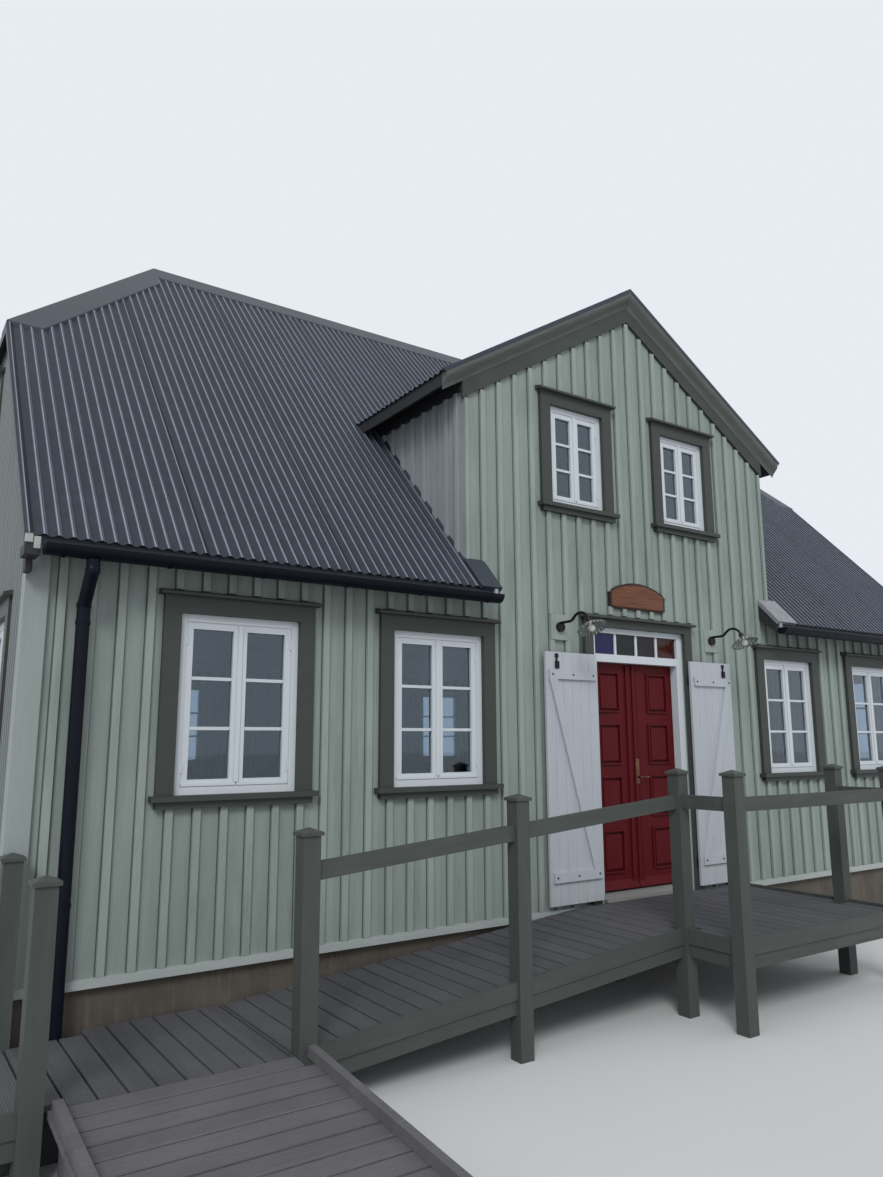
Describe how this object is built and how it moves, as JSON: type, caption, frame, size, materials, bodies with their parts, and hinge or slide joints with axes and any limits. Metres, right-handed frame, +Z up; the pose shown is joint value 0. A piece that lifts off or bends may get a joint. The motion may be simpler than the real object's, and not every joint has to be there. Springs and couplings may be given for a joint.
{
  "type": "timber house with half-hipped roof, front gable and entrance deck",
  "caption": "Icelandic-style timber house with a corrugated half-hipped roof, front gable, red double doors, white door shutters and an entrance deck.",
  "frame": {"origin": "middle of the house in plan, at ground level, on the underside of the sleeper wall", "axes": "+X along the front wall to the right as seen from the front, +Y from the front to the back, +Z up"},
  "size_m": [10.628, 11.3765, 6.7052],
  "materials": {
    "concrete": "rough, weathered",
    "floor_boards": "matt boards",
    "wall_cladding": "painted board and batten",
    "end_cladding": "painted ribbed sheet",
    "roof_sheet": "weathered corrugated sheet",
    "roof_caps": "folded sheet",
    "barge": "painted boards",
    "flashing": "zinc grey sheet",
    "gutter": "satin",
    "trim_light": "painted boards",
    "casing": "painted boards",
    "window_white": "satin paint",
    "glass": "clear",
    "stained_glass": "coloured",
    "door_red": "gloss paint",
    "brass": "polished",
    "shutter_white": "painted boards",
    "black_iron": "satin",
    "lamp_glass": "clear, ribbed",
    "bulb": "opal",
    "sign_wood": "varnished",
    "deck_boards": "weathered, ribbed",
    "deck_posts": "stained"
  },
  "bodies": {
    "house": {"plinth_long_walls": "concrete", "plinth_end_walls": "concrete", "ground_floor": "floor_boards", "attic_floor": "floor_boards", "front_wall_left": "wall_cladding", "front_wall_right": "wall_cladding", "front_gable_wall": "wall_cladding", "back_wall": "wall_cladding", "left_end_wall": "end_cladding", "right_end_wall": "end_cladding", "gable_cheeks": "end_cladding", "roof_front_left": "roof_sheet", "roof_front_right": "roof_sheet", "roof_front_top": "roof_sheet", "roof_back": "roof_sheet", "roof_hips": "roof_sheet", "gable_roof_left": "roof_sheet", "gable_roof_right": "roof_sheet", "ridge_and_hip_caps": "roof_caps", "gable_ridge_cap": "roof_caps", "gable_barge_boards": "barge", "verge_flashings": "flashing", "gutters": "gutter", "downpipes": "gutter", "base_boards": "trim_light", "corner_boards": "trim_light", "window_casings": "casing", "window_frames": "window_white", "window_sashes": "window_white", "window_glass": "glass", "door_casing": "casing", "door_frame": "window_white", "transom_glass": "stained_glass", "door_sill": "casing", "hinge_seats": "black_iron", "lamp_boards": "wall_cladding", "lamp_arms": "black_iron", "lamp_shades": "lamp_glass", "lamp_bulbs": "bulb", "sign_board": "sign_wood", "deck_platform": "deck_boards", "sloping_walk": "deck_boards", "landing": "deck_boards", "lower_ramp": "deck_boards", "deck_posts": "deck_posts", "deck_rails": "deck_posts", "deck_edge_boards": "deck_posts"},
    "left_door": {"door_leaf_left": "door_red", "door_left_hinges": "black_iron"},
    "right_door": {"door_leaf_right": "door_red", "door_right_hinges": "black_iron", "door_handle": "brass"},
    "left_shutter": {"shutter_left_boards": "shutter_white", "shutter_left_ledges": "shutter_white", "shutter_left_hinges": "black_iron"},
    "right_shutter": {"shutter_right_boards": "shutter_white", "shutter_right_ledges": "shutter_white", "shutter_right_hinges": "black_iron"}
  },
  "joints": [
    {"name": "left_door_hinge", "type": "hinge", "parent": "house", "child": "left_door", "pos_m": [-0.508, -3.053, 1.5], "axis": [0, 0, 1], "range_deg": [0, 90]},
    {"name": "right_door_hinge", "type": "hinge", "parent": "house", "child": "right_door", "pos_m": [0.508, -3.053, 1.5], "axis": [0, 0, -1], "range_deg": [0, 90]},
    {"name": "left_shutter_hinge", "type": "hinge", "parent": "house", "child": "left_shutter", "pos_m": [-0.573, -3.245, 1.5], "axis": [0, 0, 1], "range_deg": [0, 180]},
    {"name": "right_shutter_hinge", "type": "hinge", "parent": "house", "child": "right_shutter", "pos_m": [0.573, -3.245, 1.5], "axis": [0, 0, -1], "range_deg": [0, 180]}
  ]
}
